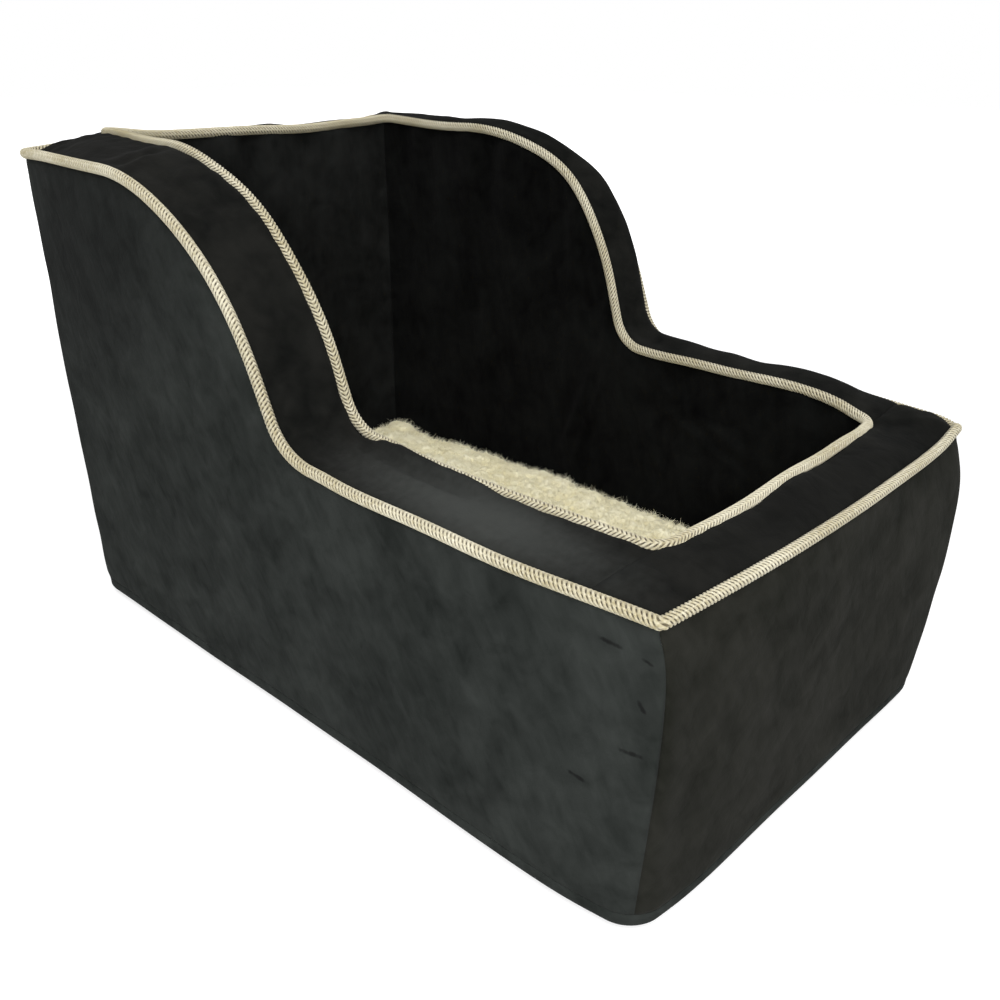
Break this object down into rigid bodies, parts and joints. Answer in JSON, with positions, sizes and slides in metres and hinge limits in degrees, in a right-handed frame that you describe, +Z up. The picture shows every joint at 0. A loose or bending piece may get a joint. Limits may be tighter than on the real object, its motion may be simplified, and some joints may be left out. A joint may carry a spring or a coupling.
{
  "type": "dog car seat",
  "caption": "Dog booster seat for a car: a foam-walled box in black suede with a low front, sides that sweep up to a high back, corded edges and a lift-out fleece pad.",
  "frame": {"origin": "on the ground plane, under the middle of the object's bounding box", "axes": "+Z up; the low front end faces -Y and the high back, which leans on the car's seat, faces +Y; +X is the left side of a dog that sits facing the front"},
  "size_m": [0.3102, 0.4776, 0.3007],
  "materials": {
    "microsuede": "short-nap microsuede, brushed, matt",
    "suede_lining": "short-nap microsuede, matt",
    "upholstery_foam": "open-cell foam block, hidden inside the cover",
    "braided_cord": "braided cotton cord, matt",
    "sherpa_fleece": "curly sherpa pile",
    "pad_backing_cloth": "plain woven cloth",
    "zip_tape_cloth": "woven tape",
    "nylon_teeth": "coil teeth, satin",
    "zip_metal": "dark enamel, satin",
    "polyester_webbing": "woven webbing, slight sheen"
  },
  "bodies": {
    "seat": {"cover_front": "microsuede", "cover_left": "microsuede", "cover_back": "microsuede", "cover_right": "microsuede", "cover_back_hem": "microsuede", "cover_bottom": "microsuede", "rim_front": "microsuede", "rim_left": "microsuede", "rim_back": "microsuede", "rim_right": "microsuede", "lining_front": "suede_lining", "lining_left": "suede_lining", "lining_back": "suede_lining", "lining_right": "suede_lining", "lining_floor": "suede_lining", "foam_front": "upholstery_foam", "foam_left": "upholstery_foam", "foam_back": "upholstery_foam", "foam_right": "upholstery_foam", "foam_base": "upholstery_foam", "piping_outer": "braided_cord", "piping_inner": "braided_cord", "zip_tape": "zip_tape_cloth", "zip_chain": "nylon_teeth", "belt_loop_left": "polyester_webbing", "belt_loop_right": "polyester_webbing"},
    "pad": {"pad_core": "upholstery_foam", "pad_fleece": "sherpa_fleece", "pad_backing": "pad_backing_cloth"},
    "slider": {"zip_slider": "zip_metal"},
    "pull": {"zip_pull": "zip_metal"}
  },
  "joints": [
    {"name": "pad_lift", "type": "slide", "parent": "seat", "child": "pad", "axis": [0, 0, 1], "range_m": [0, 0.3]},
    {"name": "zip_slide", "type": "slide", "parent": "seat", "child": "slider", "axis": [1, 0, 0], "range_m": [-0.21, 0]},
    {"name": "zip_pull_swing", "type": "hinge", "parent": "slider", "child": "pull", "pos_m": [0.105, 0.23697, 0.034], "axis": [1, 0, 0], "range_deg": [0, 150]}
  ]
}
